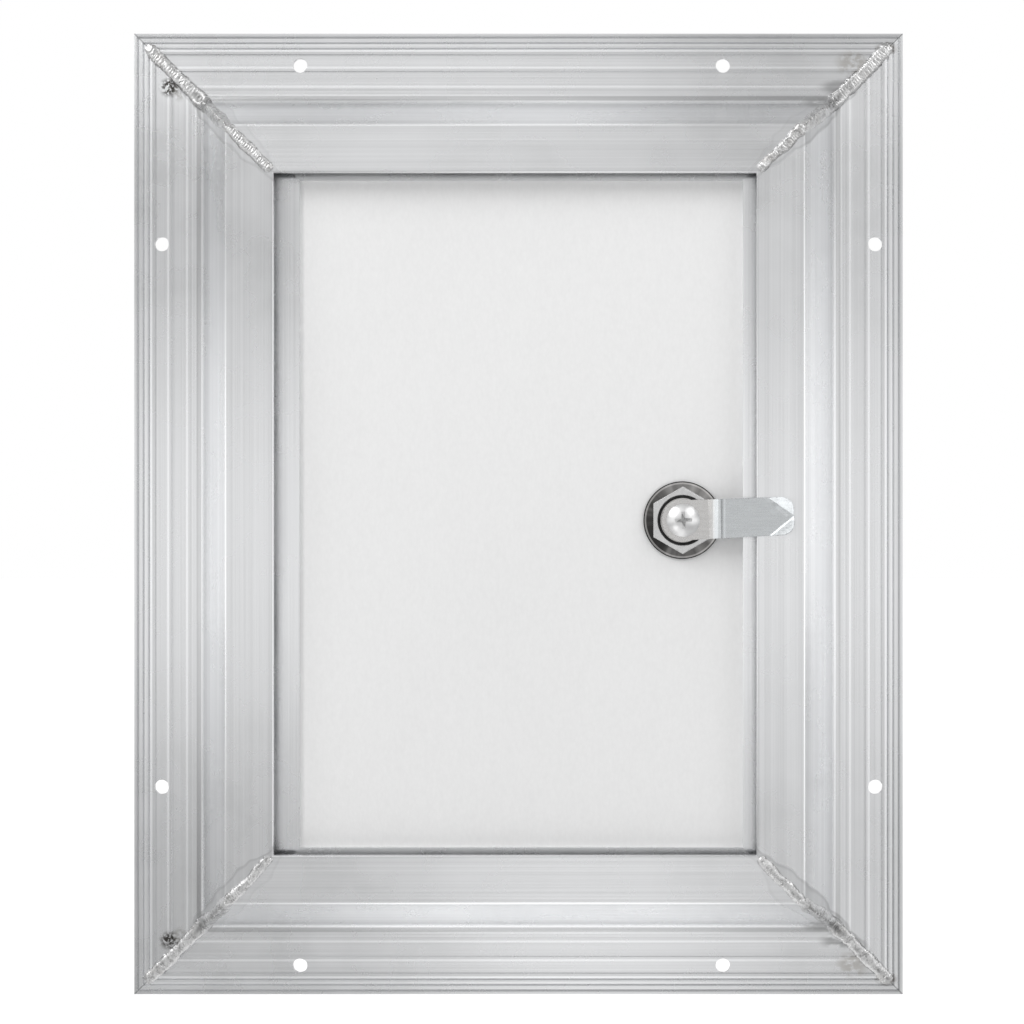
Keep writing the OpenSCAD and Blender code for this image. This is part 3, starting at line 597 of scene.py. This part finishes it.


# along is the distance in on the mitre, and the angle goes round from one toe to the other and back
# underneath; the last value is how much painted shade the point gets, in creases, ripple troughs, the crater
# and at the toes
def beadPoint(along, angle, seed):
    sizes = beadSizes
    over = math.cos(angle)  # -1 and 1 at the toes
    lift = math.sin(angle)
    wander = sizes["wander"] * noise.noise(Vector((along * 150, seed * 7.3, 0.0)))
    wander += sizes["fineWander"] * noise.noise(Vector((along * 600, seed * 7.3, 5.0)))
    hollow = math.exp(-((along - sizes["crater"]) / sizes["craterReach"]) ** 2)
    grow = 1 + 0.24 * noise.noise(Vector((along * 190, seed * 3.1, 4.0))) + 0.22 * hollow
    fade = min(1.0, (along - sizes["start"]) / 0.002 + 0.35, (sizes["end"] - along) / 0.0015 + 0.45)
    share = (along - sizes["start"]) / (sizes["end"] - sizes["start"])
    narrowed = min(1.0, max(0.0, 2.6 * share - 1.5))
    half = sizes["halfWidth"] + (sizes["endHalfWidth"] - sizes["halfWidth"]) * narrowed
    half *= grow * (0.6 + 0.4 * fade)
    ragged = sizes["ragged"] * noise.noise(Vector((along * 1300, over * 2, seed * 1.7)))
    side = over * (half + ragged) + wander
    # ripples lie as crescents, rise slowly and drop sharply
    phase = along * math.sqrt(2) / sizes["ripplePitch"] * (0.9 + 0.4 * share)
    phase += sizes["crescent"] * abs(over) ** 1.6
    phase += 0.9 * noise.noise(Vector((along * 330, seed, 1.0)))
    phase += 0.3 * noise.noise(Vector((along * 500, over * 3, 2.0)))
    step = phase % 1.0
    wave = step ** 0.8 * min(1.0, (1 - step) / 0.16)
    strength = 0.55 + 0.45 * noise.noise(Vector((along * 260, seed * 2.3, 9.0)))
    crown = sizes["height"] * grow * fade * (1 - sizes["rippleDepth"] * strength * (1 - wave))
    crown *= 1 - 0.75 * hollow * max(0.0, 1 - (over / 0.55) ** 2)
    crease = abs(noise.noise(Vector((along * 420, over * 1.8, seed * 5.0))))
    crease = max(0.0, 1 - crease * 9) * max(0.0, 1 - over * over)
    crown -= sizes["creaseDepth"] * crease
    crown += sizes["lumps"] * noise.noise(Vector((along * 500, over * 2.5, seed)))
    shift = side / math.sqrt(2)
    ground = surfaceDepth(along - abs(shift))
    onSlope = min(1.0, max(0.0, (along - section["slopeFoot"] + 0.002) / 0.002))
    onSlope *= min(1.0, max(0.0, (section["shoulderIn"] + 0.001 - along) / 0.002))
    trough = 0.55 * (1 - min(1.0, wave * 2.2)) * strength
    # painted shade, strongest in folds, troughs, the crater and at the toes
    fold = max(0.75 * crease, trough, 0.9 * hollow * max(0.0, 1 - (over / 0.5) ** 2))
    if abs(over) > 0.93:
        fold = max(fold, (abs(over) - 0.93) * 5)
    if lift < 0:
        return along - shift, -(ground + 0.0003 * lift - 0.0007), along + shift, 0.5
    rise = crown * max(0.0, 1 - over * over) ** 0.6
    # over the slope's hip the bead stands out along the hip's own normal
    back = onSlope * 0.5 * rise
    # the toes go down into the profile's recessed lands
    deep = ground + rise * (1 + 0.2 * onSlope) - sizes["sunk"] - sizes["toeDrop"] * abs(over) ** 9
    return along - back - shift, -deep, along - back + shift, min(1.0, fold)


def layBead(name, node, mirrorX, mirrorZ, seed):
    sizes = beadSizes
    bead = bmesh.new()
    rings = sizes["rings"]
    bmesh.ops.create_grid(bead, x_segments=rings, y_segments=sizes["around"], size=0.5)
    foldLayer = bead.verts.layers.float.new("fold")
    span = sizes["end"] - sizes["start"]
    for vert in bead.verts:
        along = sizes["start"] + (vert.co.x + 0.5) * span
        angle = math.pi * (1 - 2 * (vert.co.y + 0.5)) + math.pi
        inX, deep, inZ, vert[foldLayer] = beadPoint(along, angle, seed)
        vert.co = Vector((-halfWidth + inX, deep, inZ))
    bmesh.ops.remove_doubles(bead, verts=bead.verts, dist=0.000001)
    ends = [edge for edge in bead.edges if edge.is_boundary]
    bmesh.ops.holes_fill(bead, edges=ends, sides=0)
    if mirrorX:
        bmesh.ops.scale(bead, vec=(-1, 1, 1), verts=bead.verts)
    if mirrorZ:
        bmesh.ops.scale(bead, vec=(1, 1, -1), verts=bead.verts)
        bmesh.ops.translate(bead, vec=(0, 0, height), verts=bead.verts)
    bmesh.ops.recalc_face_normals(bead, faces=bead.faces)
    piece = finishPiece(name, bead, beadCoat)
    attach(piece, "frame")
    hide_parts(node)
    return piece


def finishPiece(name, shape, mat, smooth=True):
    mesh = bpy.data.meshes.new(name)
    shape.to_mesh(mesh)
    shape.free()
    for face in mesh.polygons:
        face.use_smooth = smooth
    mesh.materials.append(mat)
    piece = bpy.data.objects.new(name, mesh)
    bpy.context.scene.collection.objects.link(piece)
    return piece


beadCoat = beadMetal()
layBead("beadBottomLeft", "weld_bottom_left", False, False, 1)
layBead("beadBottomRight", "weld_bottom_right", True, False, 2)
layBead("beadTopLeft", "weld_top_left", False, True, 3)
layBead("beadTopRight", "weld_top_right", True, True, 4)
print("weld beads laid")


# A black ring that stands in for the shade on the barrel's threaded end, between the nut and the cam

shadeRing = {"radius": 0.0091, "halfWidth": 0.00055, "halfHeight": 0.00016, "lift": 0.00018}


# near-black colour standing in for shade, with a little dust
def threadEndShade():
    mat, shader, coords = startMaterial("threadEndShade", {"Roughness": 0.55, "Specular IOR Level": 0.25})
    dust = stretchedNoise(mat, coords, (900, 900, 900), 3.0, 0.5)
    dusty = remap(mat, dust, 0.4, 0.8, 0.0, 1.0)
    plug(mat, blendColour(mat, dusty, grey(0.006), grey(0.022)), shader, "Base Color")
    return mat


def layShadeRing():
    sizes = shadeRing
    ring = bmesh.new()
    bmesh.ops.create_circle(ring, cap_ends=False, segments=16, radius=1.0)
    bmesh.ops.scale(ring, vec=(sizes["halfWidth"], sizes["halfHeight"], 1), verts=ring.verts)
    bmesh.ops.translate(ring, vec=(sizes["radius"], 0, 0), verts=ring.verts)
    bmesh.ops.spin(ring, geom=ring.verts[:] + ring.edges[:], cent=(0, 0, 0), axis=(0, 1, 0),
                   angle=math.radians(360), steps=96, use_merge=True)
    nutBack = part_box("lock_nut")[0][1]
    bmesh.ops.translate(ring, vec=(lockCentre.x, nutBack - sizes["lift"], lockCentre.z), verts=ring.verts)
    bmesh.ops.recalc_face_normals(ring, faces=ring.faces)
    piece = finishPiece("shadeRing", ring, threadEndShade())
    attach(piece, "leaf")


layShadeRing()
print("thread ring set")


# Rivets of the continuous hinge, outside the door

hingeRivets = {"headRadius": 0.0024, "headHeight": 0.0011, "count": 9, "endGap": 0.012}


def hingeRivet(name, x, z, surface, body):
    head = bmesh.new()
    bmesh.ops.create_uvsphere(head, u_segments=24, v_segments=12, radius=hingeRivets["headRadius"])
    bmesh.ops.bisect_plane(head, geom=head.verts[:] + head.edges[:] + head.faces[:],
                           plane_co=(0, 0, 0), plane_no=(0, 0, -1), clear_outer=True)
    rimEdges = [edge for edge in head.edges if edge.is_boundary]
    bmesh.ops.holes_fill(head, edges=rimEdges, sides=0)
    bmesh.ops.scale(head, vec=(1, 1, hingeRivets["headHeight"] / hingeRivets["headRadius"]), verts=head.verts)
    bmesh.ops.rotate(head, cent=(0, 0, 0), matrix=Matrix.Rotation(-math.pi / 2, 3, "X"), verts=head.verts)
    bmesh.ops.translate(head, vec=(x, surface, z), verts=head.verts)
    bmesh.ops.recalc_face_normals(head, faces=head.faces)
    piece = finishPiece(name, head, rivetMetal)
    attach(piece, body)


rivetMetal = platedSteel("rivetMetal", 0.62, 0.3, (600, 600, 600), 0.04)
for plate, body in (("hinge_plate_frame", "frame"), ("hinge_plate_leaf", "leaf")):
    low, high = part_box(plate)
    pinLow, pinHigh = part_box("hinge_pin")
    pinX = (pinLow[0] + pinHigh[0]) / 2
    reach = (pinX - low[0]) if body == "frame" else (high[0] - pinX)
    rivetX = pinX + (0.58 * reach) * (-1 if body == "frame" else 1)
    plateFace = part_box("frame_left")[1][1] + 0.001
    for i in range(hingeRivets["count"]):
        share = i / (hingeRivets["count"] - 1)
        rivetZ = low[2] + hingeRivets["endGap"] + share * (high[2] - low[2] - 2 * hingeRivets["endGap"])
        hingeRivet(f"rivet_{body}_{i}", rivetX, rivetZ, plateFace, body)
print("hinge rivets set")


# Floor, light and camera

studio = {
    "floorHeight": -0.30,
    "floorFront": -0.45,  # the pale floor starts here, so the metal sees no bright floor in front of it
    "floorTone": 0.72,
    "floorLightPool": (-0.19, -0.06, 0.05, 0.21),  # across, a painted pool of light on the floor that shows only in reflections
    "allRound": 0.40,
    "highUp": 0.14,  # more than that far above and below
    "keyPower": 15.5, "keySize": 1.3, "keyPlace": (-1.25, -1.1, 1.4),
    "fillPower": 8.5, "fillSize": 1.2, "fillPlace": (1.2, -1.2, 1.45),
}

# Soft bright places of the studio, in degrees: each fades in between its first two values and out between its
# last two; a side of 0 is straight before or behind the door, and + is to the right
studioGlows = (
    {"sides": (-360, -350, 350, 360), "elevations": (-12, -4, 3, 10.5), "strength": 0.50},
    {"sides": (-80, -62, -40, -26), "elevations": (-12, -5, 4, 11), "strength": 0.58},
    {"sides": (26, 40, 62, 80), "elevations": (-20, -10, 8, 17), "strength": 0.66},
    {"sides": (-22, -11, -1, 6), "elevations": (10, 20, 95, 99), "strength": 0.66},
    {"sides": (-10, -3, 1, 9), "elevations": (-99, -95, -21, -10), "strength": 0.95},
    {"sides": (4, 16, 40, 60), "elevations": (-24, -17, -11, -5), "strength": 0.42},
    {"sides": (4, 16, 40, 60), "elevations": (4, 10, 16, 23), "strength": 0.40},
    {"sides": (-52, -42, -29, -23), "elevations": (-62, -50, -28, -20), "strength": 2.2},
)


def paleFloor():
    mat = bpy.data.materials.new("paleFloor")
    mat.use_nodes = True
    shader = mat.node_tree.nodes["Principled BSDF"]
    shader.inputs["Base Color"].default_value = grey(studio["floorTone"])
    shader.inputs["Roughness"].default_value = 0.8
    path = mat.node_tree.nodes.new("ShaderNodeLightPath")
    shader.inputs["Emission Color"].default_value = grey(1.0)
    straight = calc(mat, "MULTIPLY", path.outputs["Is Camera Ray"], 0.62)
    across = addNode(mat, "SeparateXYZ", {
        "Vector": mat.node_tree.nodes.new("ShaderNodeTexCoord").outputs["Object"],
    }).outputs["X"]
    # the floor glows only for reflections: a little everywhere, more in a painted pool of light across the
    # middle
    bright = calc(mat, "ADD", 0.08, calc(mat, "MULTIPLY", window(mat, across, studio["floorLightPool"]), 0.55))
    mirrored = calc(mat, "MULTIPLY", bright, calc(mat, "MAXIMUM", path.outputs["Is Glossy Ray"],
                                                  path.outputs["Is Transmission Ray"]))
    plug(mat, calc(mat, "ADD", straight, mirrored), shader, "Emission Strength")
    floor = bmesh.new()
    bmesh.ops.create_grid(floor, x_segments=1, y_segments=1, size=6)
    bmesh.ops.translate(floor, vec=(0, 6 + studio["floorFront"], studio["floorHeight"]), verts=floor.verts)
    finishPiece("floor", floor, mat, False)


def studioWorld():
    world = bpy.data.worlds.new("studio")
    bpy.context.scene.world = world
    world.use_nodes = True
    world.node_tree.nodes.clear()
    direction = addNode(world, "SeparateXYZ", {
        "Vector": world.node_tree.nodes.new("ShaderNodeTexCoord").outputs["Generated"],
    })
    flat = addNode(world, "CombineXYZ", {"X": direction.outputs["X"], "Y": direction.outputs["Y"]}).outputs[0]
    length = addNode(world, "VectorMath", {0: flat}, operation="LENGTH").outputs["Value"]
    toDegrees = 180 / math.pi
    sideways = calc(world, "DIVIDE", direction.outputs["X"], calc(world, "MAXIMUM", length, 0.0001))
    side = calc(world, "MULTIPLY", calc(world, "ARCSINE", sideways), toDegrees)
    elevation = calc(world, "MULTIPLY", calc(world, "ARCSINE", direction.outputs["Z"]), toDegrees)
    level = calc(world, "ADD", studio["allRound"], remap(
        world, calc(world, "ABSOLUTE", elevation), 18.0, 45.0, 0.0, studio["highUp"], True))
    for glow in studioGlows:
        lit = calc(world, "MULTIPLY",
                   window(world, side, glow["sides"]), window(world, elevation, glow["elevations"]))
        level = calc(world, "ADD", level, calc(world, "MULTIPLY", lit, glow["strength"]))
    straight = world.node_tree.nodes.new("ShaderNodeLightPath").outputs["Is Camera Ray"]
    strength = addNode(world, "Mix", {0: straight, 2: level, 3: 1.0}, data_type="FLOAT").outputs[0]
    shade = addNode(world, "Background", {"Color": grey(1.0), "Strength": strength})
    out = world.node_tree.nodes.new("ShaderNodeOutputWorld")
    world.node_tree.links.new(shade.outputs[0], out.inputs["Surface"])


def softbox(name, place, size, power, target):
    lamp = bpy.data.lights.new(name, "AREA")
    lamp.energy = power
    lamp.size = size
    box = bpy.data.objects.new(name, lamp)
    bpy.context.scene.collection.objects.link(box)
    box.location = place
    box.rotation_euler = (Vector(target) - Vector(place)).to_track_quat("-Z", "Y").to_euler()


paleFloor()
studioWorld()
doorMiddle = (0.0, 0.0, midHeight)
softbox("keyBox", studio["keyPlace"], studio["keySize"], studio["keyPower"], doorMiddle)
softbox("fillBox", studio["fillPlace"], studio["fillSize"], studio["fillPower"], doorMiddle)

view = {
    "distance": 0.640, "right": 0.0356,
    "focalPixels": 1613.7, "centrePixel": (518.5, 514.0), "picture": 1024,
}


def addCamera():
    lens = bpy.data.cameras.new("camera")
    lens.sensor_width = 36.0
    lens.lens = view["focalPixels"] / view["picture"] * lens.sensor_width
    offset = view["right"] * view["focalPixels"] / view["distance"]
    lens.shift_x = -(view["centrePixel"][0] + offset - view["picture"] / 2) / view["picture"]
    lens.shift_y = (view["centrePixel"][1] - view["picture"] / 2) / view["picture"]
    camera = bpy.data.objects.new("camera", lens)
    camera.location = (view["right"], -view["distance"], midHeight)
    camera.rotation_euler = (math.radians(90), 0, 0)
    bpy.context.scene.collection.objects.link(camera)
    bpy.context.scene.camera = camera


addCamera()
bpy.context.scene.view_settings.view_transform = "Standard"
print("studio ready")
